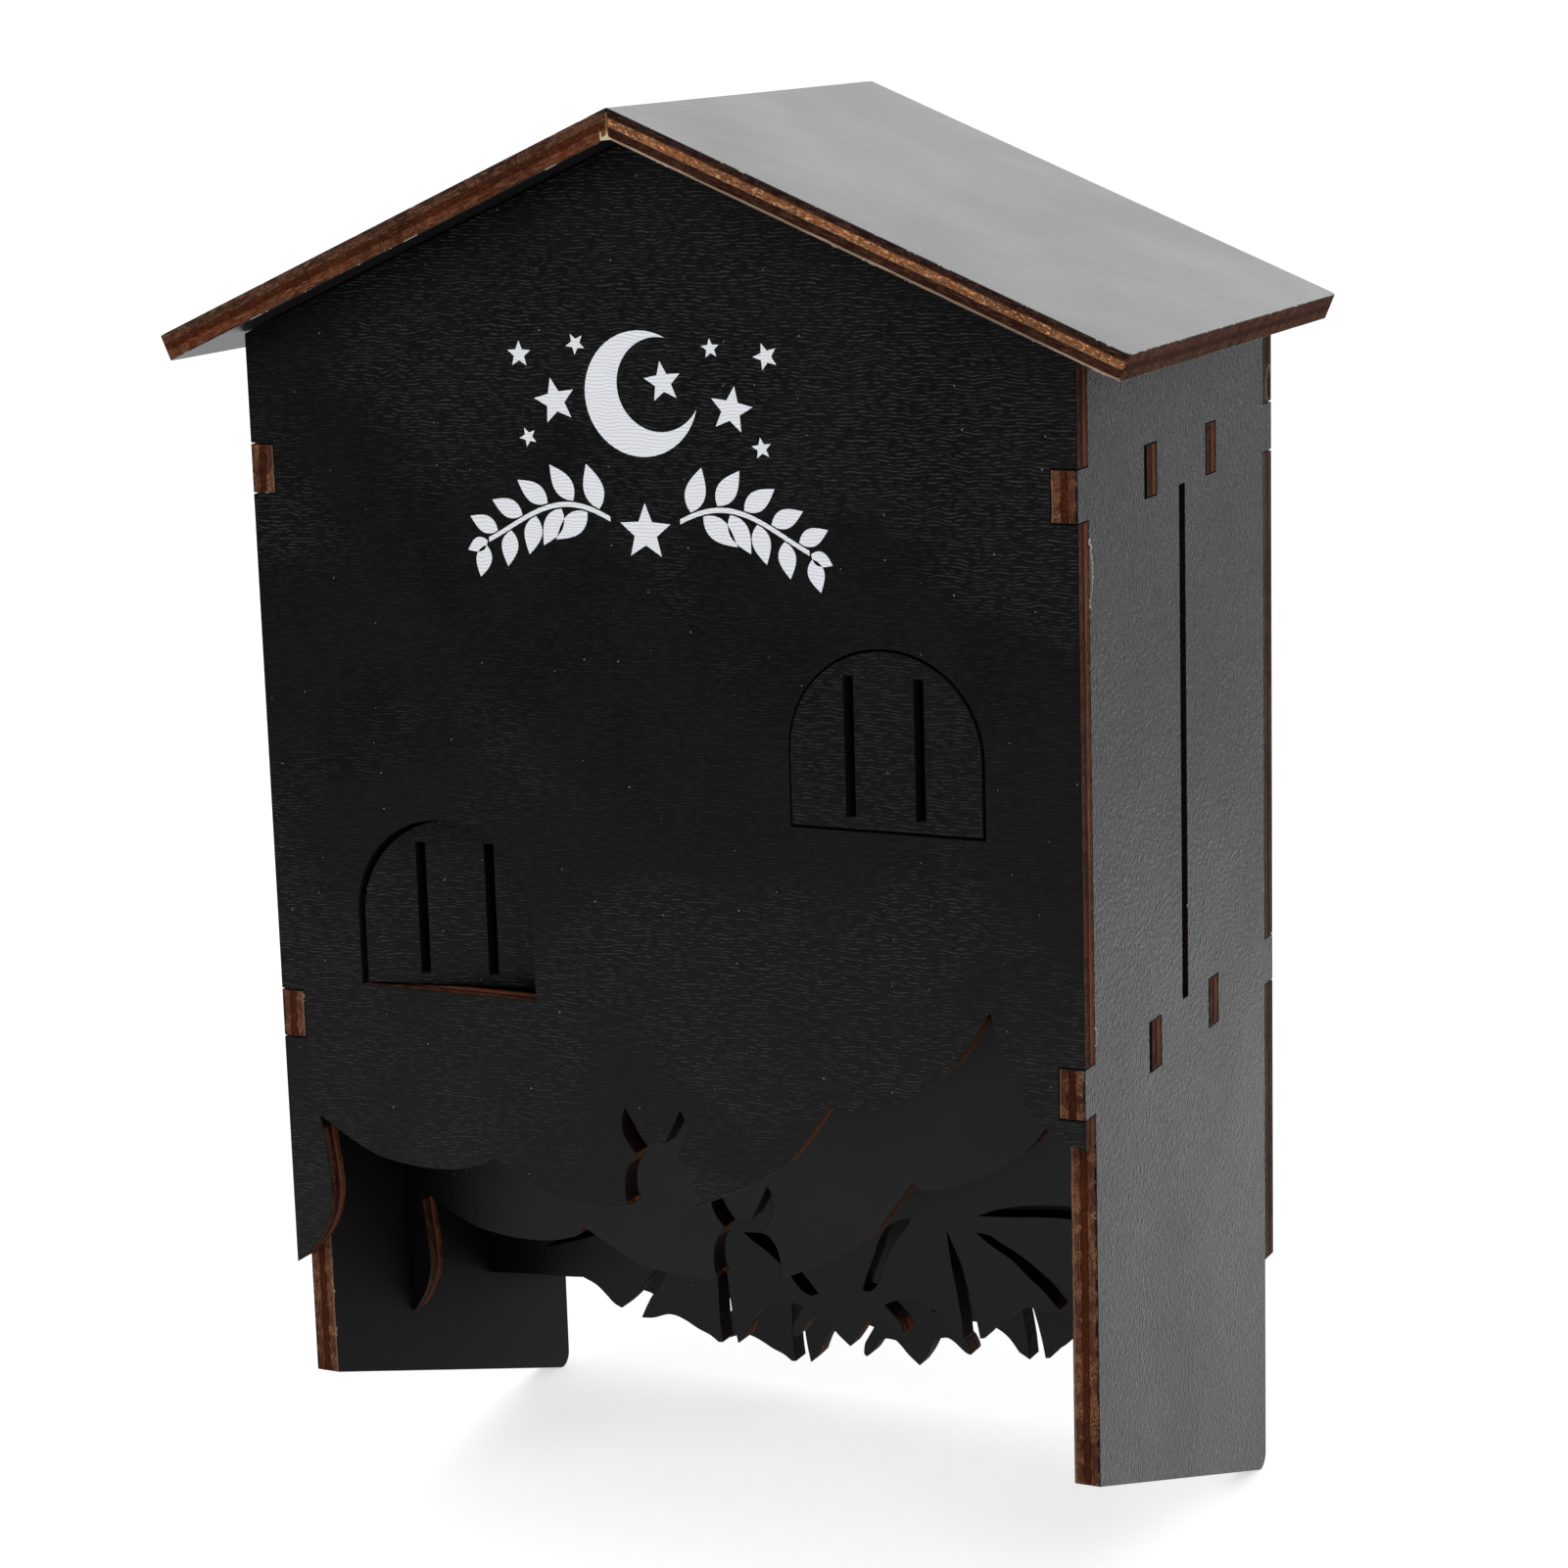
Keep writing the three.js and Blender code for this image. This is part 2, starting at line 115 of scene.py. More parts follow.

# Colours of the laminate, its marks, its painted glints and sheen, the print and the glue
BLACK = (0.0030, 0.0030, 0.0033)
PAINTED_CREST_GLINT = (0.047, 0.047, 0.049)
INNER_BLACK = (0.0025, 0.0025, 0.0027)
WORN_BLACK = (0.006, 0.006, 0.0062)
# The side and roof blacks are lighter and bluer than the front's black, partly a painted sheen
SIDE_BLACK_AND_SHEEN = (0.0125, 0.0125, 0.0140)
ROOF_BLACK_AND_SHEEN = (0.018, 0.018, 0.0195)
# The dust grey and the chip colour also make the pale spots on the arrises, which are partly painted glints
DUST_AND_GLINT_GREY = (0.20, 0.19, 0.18)
CHIP_AND_GLINT = (0.44, 0.41, 0.39)
INK_WHITE = (0.90, 0.92, 0.95)
INK_SHADE = (0.66, 0.70, 0.77)
GLUE = (0.62, 0.50, 0.33)
AMBER_GLUE = (0.16, 0.09, 0.02)

# Colours of the scorched plies, some darkened as painted shade
SOOT = (0.004, 0.002, 0.002)
GLUE_LINE = (0.008, 0.002, 0.001)
PLUM = (0.060, 0.021, 0.015)
NIGHT_PLUM = (0.017, 0.007, 0.008)
DEEP_RED = (0.036, 0.007, 0.002)
DARK_RED = (0.036, 0.010, 0.006)
RED_BROWN = (0.108, 0.028, 0.011)
LIT_BROWN = (0.21, 0.085, 0.052)
SINGED_BROWN = (0.084, 0.030, 0.019)
EMBER = (0.062, 0.013, 0.004)
GREY_BROWN = (0.055, 0.023, 0.016)
ASH_BROWN = (0.066, 0.050, 0.046)
# Near black, for the walls of narrow slots: char darkened as painted shade
SHADED_CHAR = (0.007, 0.004, 0.004)
# A darkened plum and brown: painted shade on the edges deep inside the box. The brown also colours torn patches
# and the ashy plies
SHADED_PLUM = (0.020, 0.010, 0.009)
SOOT_AND_SHADE_BROWN = (0.034, 0.014, 0.010)
AMBER = (0.15, 0.050, 0.014)
GOLD_BROWN = (0.27, 0.098, 0.036)
PALE_LINE = (0.26, 0.16, 0.10)
CREAM_LINE = (0.46, 0.33, 0.23)
TAN_CURL = (0.33, 0.155, 0.080)
GOLD_CURL = (0.82, 0.44, 0.24)

# The plies of a cut edge: the depth below the outer face, as a share of the board, and the colour there
PANEL_PLIES = (
    (0.0, SOOT), (0.05, PLUM), (0.33, DARK_RED), (0.37, GLUE_LINE), (0.40, DEEP_RED), (0.56, DEEP_RED),
    (0.60, LIT_BROWN), (0.68, LIT_BROWN), (0.73, RED_BROWN), (0.92, RED_BROWN), (0.96, SOOT),
)
LEG_PLIES = (
    (0.0, SOOT), (0.07, SOOT), (0.11, SINGED_BROWN), (0.34, SINGED_BROWN), (0.37, GLUE_LINE),
    (0.40, EMBER), (0.60, EMBER), (0.64, GLUE_LINE), (0.67, SINGED_BROWN), (0.90, SINGED_BROWN),
    (0.93, PALE_LINE), (0.97, SOOT),
)
# A darkened copy of the panel plies: painted shade on the edges deep inside the box
SHADED_PANEL_PLIES = (
    (0.0, SOOT), (0.05, SHADED_PLUM), (0.33, SHADED_PLUM), (0.37, GLUE_LINE), (0.40, SOOT_AND_SHADE_BROWN),
    (0.60, SOOT_AND_SHADE_BROWN), (0.64, GLUE_LINE), (0.67, SHADED_PLUM), (0.92, SOOT_AND_SHADE_BROWN), (0.96, SOOT),
)
# Near-black plies for the walls of narrow slots and gaps: char darkened as painted shade
SHADED_SLOT_PLIES = ((0.0, SOOT), (0.06, SHADED_CHAR), (0.36, SHADED_CHAR), (0.64, SOOT), (0.70, SHADED_CHAR), (0.95, SOOT))
ASHY_PLIES = (
    (0.0, SOOT), (0.05, ASH_BROWN), (0.34, ASH_BROWN), (0.40, SOOT_AND_SHADE_BROWN), (0.60, SOOT_AND_SHADE_BROWN),
    (0.66, ASH_BROWN), (0.92, ASH_BROWN), (0.96, SOOT),
)
LEFT_ROOF_PLIES = (
    (0.0, SOOT), (0.05, GREY_BROWN), (0.34, GREY_BROWN), (0.38, EMBER), (0.62, EMBER),
    (0.68, RED_BROWN), (0.92, RED_BROWN), (0.96, SOOT),
)
RIGHT_ROOF_PLIES = (
    (0.0, SOOT), (0.05, NIGHT_PLUM), (0.24, NIGHT_PLUM), (0.28, AMBER), (0.32, GOLD_BROWN),
    (0.53, GOLD_BROWN), (0.56, PALE_LINE), (0.585, GLUE_LINE), (0.62, DARK_RED), (0.87, DARK_RED),
    (0.90, CREAM_LINE), (0.945, CREAM_LINE), (0.97, SOOT),
)
EAVE_PLIES = (
    (0.0, SOOT), (0.05, PLUM), (0.40, PLUM), (0.46, DARK_RED), (0.62, DARK_RED), (0.67, PLUM),
    (0.92, GREY_BROWN), (0.96, SOOT),
)

# The plies on the upright edges of the inner boards
UPRIGHT_PLIES = {"front_baffle": PANEL_PLIES, "rear_baffle": PANEL_PLIES, "back_panel": ASHY_PLIES}


def new_object(name, data):
    """A new object in the scene."""
    item = bpy.data.objects.new(name, data)
    bpy.context.scene.collection.objects.link(item)
    return item


# Shader nodes


class Tree:
    """A node tree, with short calls that add a node and join it up."""

    def __init__(self, tree):
        self.tree = tree

    def add(self, kind, inputs=None, **settings):
        """A new node. inputs holds a value or an output socket for each input, by name or number."""
        node = self.tree.nodes.new(kind)
        for name, value in settings.items():
            setattr(node, name, value)
        for key, value in (inputs or {}).items():
            if isinstance(value, bpy.types.NodeSocket):
                self.join(value, node.inputs[key])
            elif isinstance(value, tuple) and len(value) == 3 and node.inputs[key].type == "RGBA":
                node.inputs[key].default_value = (*value, 1)
            else:
                node.inputs[key].default_value = value
        return node

    def join(self, output, target):
        """A link from an output to an input."""
        self.tree.links.new(output, target)

    def calc(self, operation, *values):
        """The result of a Math node."""
        return self.add("ShaderNodeMath", dict(enumerate(values)), operation=operation).outputs[0]

    def step(self, value, low, high, start=0.0, end=1.0):
        """A smooth step of value between low and high."""
        inputs = {"Value": value, "From Min": low, "From Max": high, "To Min": start, "To Max": end}
        return self.add("ShaderNodeMapRange", inputs, interpolation_type="SMOOTHSTEP").outputs[0]

    def band(self, value, start, end, soft):
        """One inside the band from start to end, zero outside it."""
        rise = self.step(value, start - soft, start + soft)
        fall = self.step(value, end - soft, end + soft, 1.0, 0.0)
        return self.calc("MULTIPLY", rise, fall)

    def blend(self, amount, first, second):
        """A mix of two colours. A Mix node keeps its colours in inputs 6 and 7 and in output 2."""
        return self.add("ShaderNodeMix", {0: amount, 6: first, 7: second}, data_type="RGBA").outputs[2]

    def ramp(self, value, stops):
        """The colour at value between stops, which are places and colours."""
        node = self.add("ShaderNodeValToRGB", {0: value})
        elements = node.color_ramp.elements
        elements[0].position = stops[0][0]
        elements[1].position = stops[-1][0]
        for place, _ in stops[1:-1]:
            elements.new(place)
        for element, (_, colour) in zip(elements, stops):
            element.color = (*colour, 1)
        return node.outputs["Color"]

    def stretched(self, vector, scale):
        """The vector scaled by its own amount along each axis."""
        return self.add("ShaderNodeMapping", {"Vector": vector, "Scale": scale}).outputs[0]

    def noise(self, vector, scale, detail=2.0, roughness=0.5, distortion=0.0):
        """Smooth noise from 0 to 1."""
        inputs = {
            "Vector": vector, "Scale": scale, "Detail": detail,
            "Roughness": roughness, "Distortion": distortion,
        }
        return self.add("ShaderNodeTexNoise", inputs).outputs["Fac"]


def new_group(name, inputs, outputs):
    """A shader node group with the given sockets. Returns its tree, its inputs and its output node."""
    group = bpy.data.node_groups.new(name, "ShaderNodeTree")
    for label, (kind, value) in inputs.items():
        socket = group.interface.new_socket(name=label, in_out="INPUT", socket_type=kind)
        if value is not None:
            socket.default_value = value
    for label, kind in outputs.items():
        group.interface.new_socket(name=label, in_out="OUTPUT", socket_type=kind)
    tree = Tree(group)
    entry = tree.add("NodeGroupInput")
    leave = tree.add("NodeGroupOutput")
    return group, tree, entry.outputs, leave.inputs


FLOAT, VECTOR = "NodeSocketFloat", "NodeSocketVector"


def embossed_grain_group():
    """Short thin ridges pressed across the board, in stronger and weaker patches, with glints painted along
    their crests. They are strong in the gable and low down. Rightward is what the gable's ridges gain towards
    the right, and Weakest is how much of them is left elsewhere."""
    inputs = {
        "Vector": (VECTOR, None), "Ridge Length": (FLOAT, 2.4 * MM), "Ridge Spacing": (FLOAT, 0.76 * MM),
        "Rightward": (FLOAT, 2.0), "Weakest": (FLOAT, 0.15),
    }
    outputs = {"Height": FLOAT, "Painted Glint": FLOAT, "Wave": FLOAT}
    group, tree, entry, leave = new_group("Embossed grain", inputs, outputs)
    parts = tree.add("ShaderNodeSeparateXYZ", {0: entry["Vector"]}).outputs
    sway = tree.noise(entry["Vector"], 150.0, 2.0)
    along = tree.calc("DIVIDE", parts[0], entry["Ridge Length"])
    across = tree.calc("DIVIDE", parts[1], entry["Ridge Spacing"])
    rows = tree.calc("MULTIPLY_ADD", sway, 3.1, across)
    wave = tree.calc("SINE", tree.calc("MULTIPLY", rows, 2 * math.pi))
    broken = tree.noise(tree.add("ShaderNodeCombineXYZ", {0: along, 1: rows}).outputs[0], 1.0, 2.0, 0.5)
    patch = tree.noise(entry["Vector"], 24.0, 2.0)
    gable = tree.step(parts[1], *GABLE_GRAIN)
    low = tree.step(parts[1], *LOWER_GRAIN, 0.09, -0.13)
    gain = tree.calc("MULTIPLY_ADD", parts[0], entry["Rightward"], 0.33)
    lift = tree.calc("MULTIPLY_ADD", gable, gain, low)
    share = tree.step(tree.calc("ADD", patch, lift), 0.40, 0.72)
    fading = tree.calc("SUBTRACT", 1.0, entry["Weakest"])
    strength = tree.calc("MULTIPLY_ADD", share, fading, entry["Weakest"])
    ridge = tree.calc("MULTIPLY", tree.step(wave, 0.0, 1.0), tree.step(broken, 0.42, 0.56))
    # Painted glints: the narrow tops of the ridges, which are coloured lighter
    line = tree.calc("MULTIPLY", tree.step(wave, 0.72, 1.0), tree.step(broken, 0.47, 0.62))
    tree.join(tree.calc("MULTIPLY", ridge, strength), leave["Height"])
    tree.join(tree.calc("MULTIPLY", line, strength), leave["Painted Glint"])
    tree.join(wave, leave["Wave"])
    return group


def pebbling_group():
    """Fine pebbles, as on leathercloth, longer up the board than across it."""
    inputs = {"Vector": (VECTOR, None), "Pebble": (FLOAT, 1.0 * MM)}
    group, tree, entry, leave = new_group("Pebbling", inputs, {"Height": FLOAT})
    inputs = {"Vector": entry["Vector"], "Rotation": (0, 0, 0.2), "Scale": (1.7, 1, 1)}
    lean = tree.add("ShaderNodeMapping", inputs).outputs[0]
    inputs = {"Vector": lean, "Scale": tree.calc("DIVIDE", 1.0, entry["Pebble"])}
    cells = tree.add("ShaderNodeTexVoronoi", inputs, feature="SMOOTH_F1")
    soft = tree.noise(entry["Vector"], 700.0, 2.0)
    mixed = tree.calc("MULTIPLY_ADD", soft, 0.9, cells.outputs["Distance"])
    tree.join(mixed, leave["Height"])
    return group


def dust_group():
    """Single specks of dust, thinly strewn."""
    inputs = {"Vector": (VECTOR, None), "Spacing": (FLOAT, 9 * MM), "Share": (FLOAT, 0.15)}
    group, tree, entry, leave = new_group("Dust", inputs, {"Mask": FLOAT})
    density = tree.calc("DIVIDE", 1.0, entry["Spacing"])
    inputs = {"Vector": entry["Vector"], "Scale": density, "Randomness": 1.0}
    cells = tree.add("ShaderNodeTexVoronoi", inputs, voronoi_dimensions="2D")
    tone = tree.add("ShaderNodeSeparateColor", {0: cells.outputs["Color"]}).outputs
    chosen = tree.calc("LESS_THAN", tone[0], entry["Share"])
    size = tree.calc("MULTIPLY_ADD", tone[1], 0.016, 0.006)
    spot = tree.calc("LESS_THAN", cells.outputs["Distance"], size)
    tree.join(tree.calc("MULTIPLY", chosen, spot), leave["Mask"])
    return group


def torn_group():
    """A patch where the laminate has torn off the ply, inside a ragged pale rim."""
    inputs = {"Vector": (VECTOR, None), "Centre": (VECTOR, None), "Reach": (VECTOR, None)}
    group, tree, entry, leave = new_group("Torn laminate", inputs, {"Patch": FLOAT, "Rim": FLOAT})
    offset = tree.add("ShaderNodeVectorMath", {0: entry["Vector"], 1: entry["Centre"]}, operation="SUBTRACT")
    inputs = {0: offset.outputs[0], 1: entry["Reach"]}
    shares = tree.add("ShaderNodeVectorMath", inputs, operation="DIVIDE").outputs[0]
    length = tree.add("ShaderNodeVectorMath", {0: shares}, operation="LENGTH").outputs["Value"]
    ragged = tree.calc("MULTIPLY_ADD", tree.noise(entry["Vector"], 700.0, 3.0), 1.1, length)
    tree.join(tree.step(ragged, 1.46, 1.50, 1.0, 0.0), leave["Patch"])
    tree.join(tree.band(ragged, 1.40, 1.56, 0.04), leave["Rim"])
    return group


def scorch_group():
    """The marks of a laser-cut ply edge: the depth at which each ply shows, curls, streaks and scorching."""
    inputs = {
        "Vector": (VECTOR, None), "Core Start": (FLOAT, 0.36), "Core End": (FLOAT, 0.62),
        "Outer Curls": (FLOAT, 0.3), "Core Curls": (FLOAT, 0.1),
        "Outer Streaks": (FLOAT, 0.4), "Core Streaks": (FLOAT, 0.2),
    }
    outputs = {"Depth": FLOAT, "Fleck": FLOAT, "Scorch": FLOAT, "Roughness": FLOAT, "Height": FLOAT}
    group, tree, entry, leave = new_group("Scorched ply edge", inputs, outputs)
    parts = tree.add("ShaderNodeSeparateXYZ", {0: entry["Vector"]}).outputs
    level = tree.calc("DIVIDE", parts[2], -BOARD_THICKNESS)
    sway = tree.noise(entry["Vector"], 120.0, 2.0)
    depth = tree.calc("ADD", level, tree.calc("MULTIPLY_ADD", sway, 0.06, -0.03))

    streak = tree.noise(tree.stretched(entry["Vector"], (420, 420, 3600)), 1.0, 3.0, 0.6)
    fibre = tree.noise(tree.stretched(entry["Vector"], (1100, 1100, 3300)), 1.0, 2.0, 0.6)
    curl = tree.noise(tree.stretched(entry["Vector"], (900, 900, 1700)), 1.0, 1.0, 0.5, 1.5)
    clump = tree.noise(entry["Vector"], 260.0, 2.0)
    smoke = tree.noise(entry["Vector"], 45.0, 3.0)

    line = tree.calc("ABSOLUTE", tree.calc("SUBTRACT", curl, 0.5))
    curls = tree.calc("MULTIPLY", tree.step(line, 0.04, 0.10, 1.0, 0.0), tree.step(clump, 0.43, 0.57))
    rise = tree.calc("GREATER_THAN", depth, entry["Core Start"])
    fall = tree.calc("LESS_THAN", depth, entry["Core End"])
    core = tree.calc("MULTIPLY", rise, fall)
    streak = tree.calc("MULTIPLY_ADD", core, tree.calc("SUBTRACT", fibre, streak), streak)

    def amount(kind):
        spread = tree.calc("SUBTRACT", entry["Core " + kind], entry["Outer " + kind])
        return tree.calc("MULTIPLY_ADD", core, spread, entry["Outer " + kind])

    curled = tree.calc("MULTIPLY", curls, amount("Curls"))
    streaked = tree.calc("MULTIPLY", tree.step(streak, 0.53, 0.66), amount("Streaks"))
    fleck = tree.calc("MAXIMUM", curled, streaked)

    dark = tree.step(streak, 0.28, 0.46, 0.75, 0.0)
    smoky = tree.step(smoke, 0.36, 0.62, 0.5, 0.0)
    height = tree.calc("MULTIPLY_ADD", curls, 0.6, streak)
    tree.join(depth, leave["Depth"])
    tree.join(fleck, leave["Fleck"])
    tree.join(tree.calc("MAXIMUM", dark, smoky), leave["Scorch"])
    tree.join(tree.step(streak, 0.3, 0.7, 0.6, 0.9), leave["Roughness"])
    tree.join(height, leave["Height"])
    return group


EMBOSSED_GRAIN = embossed_grain_group()
PEBBLING = pebbling_group()
DUST = dust_group()
TORN_LAMINATE = torn_group()
SCORCHED_EDGE = scorch_group()


# Materials


def new_material(name, roughness=0.5, specular=0.5):
    """A material with only its Principled shader. Returns the material, its tree and the shader."""
    material = bpy.data.materials.new(name)
    material.use_nodes = True
    tree = Tree(material.node_tree)
    shader = material.node_tree.nodes["Principled BSDF"]
    shader.inputs["Roughness"].default_value = roughness
    shader.inputs["Specular IOR Level"].default_value = specular
    return material, tree, shader


def board_space(tree, place):
    """Places on a board: X across it, Y up it, and Z out of its outer face."""
    inputs = {
        "Vector": tree.add("ShaderNodeTexCoord").outputs["Object"],
        "Location": place.origin,
        "Rotation": place.turn,
    }
    return tree.add("ShaderNodeMapping", inputs, vector_type="TEXTURE").outputs[0]


def effect(tree, group, inputs):
    """A shader node group placed in a material."""
    return tree.add("ShaderNodeGroup", inputs, node_tree=group).outputs


def bump(tree, shader, height, distance):
    """Puffs the shader's surface up by height."""
    normal = tree.add("ShaderNodeBump", {"Height": height, "Distance": distance}).outputs[0]
    tree.join(normal, shader.inputs["Normal"])


def with_torn_patches(tree, vector, colour, torn):
    """The colour with the laminate torn off in patches, given as middles and reaches on the board."""
    for middle, reach in torn:
        patch = effect(tree, TORN_LAMINATE, {"Vector": vector, "Centre": middle, "Reach": reach})
        colour = tree.blend(patch["Patch"], colour, SOOT_AND_SHADE_BROWN)
        colour = tree.blend(patch["Rim"], colour, CHIP_AND_GLINT)
    return colour


def grained_laminate(name, place, depth, rightward, weakest=0.15):
    """Black laminate with the pressed grain of the front, and glints painted along its crests."""
    material, tree, shader = new_material(name, specular=0.113)
    vector = board_space(tree, place)
    grain = effect(tree, EMBOSSED_GRAIN, {"Vector": vector, "Rightward": rightward, "Weakest": weakest})
    dust = effect(tree, DUST, {"Vector": vector, "Share": 0.35})["Mask"]
    smudge = tree.noise(vector, 35.0, 4.0, 0.6)
    # Painted glints: the grain's crests coloured lighter than the black
    colour = tree.blend(grain["Painted Glint"], BLACK, PAINTED_CREST_GLINT)
    tree.join(tree.blend(dust, colour, DUST_AND_GLINT_GREY), shader.inputs["Base Color"])
    tree.join(tree.step(smudge, 0.3, 0.7, 0.30, 0.42), shader.inputs["Roughness"])
    bump(tree, shader, grain["Height"], depth)
    return material


def pebbled_laminate(name, place, colour, specular, roughness, depth, pebble, torn=()):
    """Black laminate with a fine pebbled face."""
    material, tree, shader = new_material(name, specular=specular)
    vector = board_space(tree, place)
    pebbles = effect(tree, PEBBLING, {"Vector": vector, "Pebble": pebble})["Height"]
    dust = effect(tree, DUST, {"Vector": vector, "Share": 0.12})["Mask"]
    smudge = tree.noise(vector, 18.0, 4.0, 0.6)
    colour = with_torn_patches(tree, vector, tree.blend(dust, colour, DUST_AND_GLINT_GREY), torn)
    tree.join(colour, shader.inputs["Base Color"])
    low, high = roughness
    tree.join(tree.step(smudge, 0.3, 0.7, low, high), shader.inputs["Roughness"])
    bump(tree, shader, pebbles, depth)
    return material


def inner_laminate(name, place, specular=0.06, roughness=0.55):
    """The duller black of a board's inner face, with faint pebbling."""
    material, tree, shader = new_material(name, roughness=roughness, specular=specular)
    vector = board_space(tree, place)
    pebbles = effect(tree, PEBBLING, {"Vector": vector, "Pebble": 1.1 * MM})["Height"]
    smudge = tree.noise(vector, 30.0, 4.0, 0.6)
    tree.join(tree.blend(smudge, INNER_BLACK, WORN_BLACK), shader.inputs["Base Color"])
    bump(tree, shader, pebbles, 0.03 * MM)
    return material


def scorched_ply(
    name, place, plies, bright=TAN_CURL, core=(0.36, 0.62), curls=(0.25, 0.1), streaks=(0.4, 0.2), torn=(),
):
    """A laser-cut edge: three scorched plies between two skins of laminate. curls and streaks are how much
    of each shows in the outer plies and in the core."""
    material, tree, shader = new_material(name, specular=0.04)
    vector = board_space(tree, place)
    inputs = {
        "Vector": vector, "Core Start": core[0], "Core End": core[1],
        "Outer Curls": curls[0], "Core Curls": curls[1],
        "Outer Streaks": streaks[0], "Core Streaks": streaks[1],
    }
    marks = effect(tree, SCORCHED_EDGE, inputs)
    colour = tree.ramp(marks["Depth"], plies)
    colour = tree.blend(marks["Scorch"], colour, GLUE_LINE)
    colour = tree.blend(marks["Fleck"], colour, bright)
    colour = with_torn_patches(tree, vector, colour, torn)
    tree.join(colour, shader.inputs["Base Color"])
    tree.join(marks["Roughness"], shader.inputs["Roughness"])
    bump(tree, shader, marks["Height"], 0.1 * MM)
    return material


def nicked_glinting_arris(name, place, share, base=SIDE_BLACK_AND_SHEEN, nick_and_glint=CHIP_AND_GLINT, specular=0.3, torn=()):
    """The edge of the laminate: dark, nicked with small pale spots that are partly chips and partly painted
    glints.
    """
    material, tree, shader = new_material(name, roughness=0.42, specular=specular)
    vector = board_space(tree, place)
    # Pale spots along the arris: partly chips, partly painted glints
    nicks_and_glints = tree.noise(vector, 260.0, 3.0, 0.65)
    mask = tree.step(nicks_and_glints, 1.0 - share, 1.06 - share)
    worn_and_glinting = with_torn_patches(tree, vector, tree.blend(mask, base, nick_and_glint), torn)
    tree.join(worn_and_glinting, shader.inputs["Base Color"])
    return material


def dark_arris(name, place, share):
    """The edge of a board whose arris stays nearly black, nicked with dim grey spots that are partly painted
    glints.
    """
    return nicked_glinting_arris(name, place, share, base=INNER_BLACK, nick_and_glint=DUST_AND_GLINT_GREY, specular=0.08)


def print_ink(name, place):
    """White print that follows the grain of the board under it."""
    material, tree, shader = new_material(name, roughness=0.55, specular=0.3)
    vector = board_space(tree, place)
    grain = effect(tree, EMBOSSED_GRAIN, {"Vector": vector, "Rightward": 0.0, "Weakest": 0.7})
    colour = tree.blend(tree.step(grain["Wave"], 0.3, 1.0), INK_WHITE, INK_SHADE)
    tree.join(colour, shader.inputs["Base Color"])
    bump(tree, shader, grain["Height"], 0.05 * MM)
    return material


def ridge_glue(name, place, top):
    """Dried glue, cream where it is thick at the foot of the joint and dark amber where it is thin above."""
    material, tree, shader = new_material(name, roughness=0.4, specular=0.2)
    vector = board_space(tree, place)
    height = tree.add("ShaderNodeSeparateXYZ", {0: vector}).outputs[1]
    uneven = tree.calc("MULTIPLY_ADD", tree.noise(vector, 500.0, 2.0), 3 * MM, height)
    thick = tree.step(uneven, top - 4.2 * MM, top - 2.8 * MM, 1.0, 0.0)
    tree.join(tree.blend(thick, AMBER_GLUE, GLUE), shader.inputs["Base Color"])
    return material


# Boards


class Place:
    """Where a board lies: a point on its outer face, and the turn that brings its own axes there."""

    def __init__(self, origin, turn):
        self.origin = origin
        self.turn = turn


def standing(facing, x=0.0, y=0.0):
    """The place of an upright board. It faces -Y, turned by facing degrees about the upright axis."""
    return Place((x, y, 0.0), Euler((math.radians(90), 0.0, math.radians(facing))))


def roof_place(side):
    """The place of a roof board, which falls to the right where side is 1 and to the left where it is -1."""
    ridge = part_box("right_roof_board")[1].z
    return Place((0.0, 0.0, ridge), Euler((0.0, side * ROOF_PITCH, 0.0)))


def all_boards():
    """Every CAD board in one search tree."""
    boards = bmesh.new()
    for node in frame["nodes"].values():
        boards.from_mesh(node.data)
    search = BVHTree.FromBMesh(boards)
    boards.free()
    return search


ALL_BOARDS = all_boards()


def in_narrow_slot(face, outward):
    """Whether a cut edge has another close before it, or one close on each side."""
    start = face.calc_center_median() + face.normal * CLEAR_OF_FACE
    aside = face.normal.cross(outward)
    before, right, left = (
        ALL_BOARDS.ray_cast(start, way, NARROW_SLOT)[0] is not None for way in (face.normal, aside, -aside)
    )
    return before or (right and left)


def finish_slot(face, outward, across):
    """The material slot of a board's face, by the way it looks and by what is close to it: a cut edge with another
    board close by takes the slot wall, painted near black as shade.
    """
    facing = math.cos(SHARP_ANGLE)
    if face.normal.dot(outward) > facing:
        return OUTER
    if face.normal.dot(outward) < -facing:
        return INNER
    if in_narrow_slot(face, outward):
        return SLOT_WALL
    return EAVE if abs(face.normal.dot(across)) > facing else EDGE


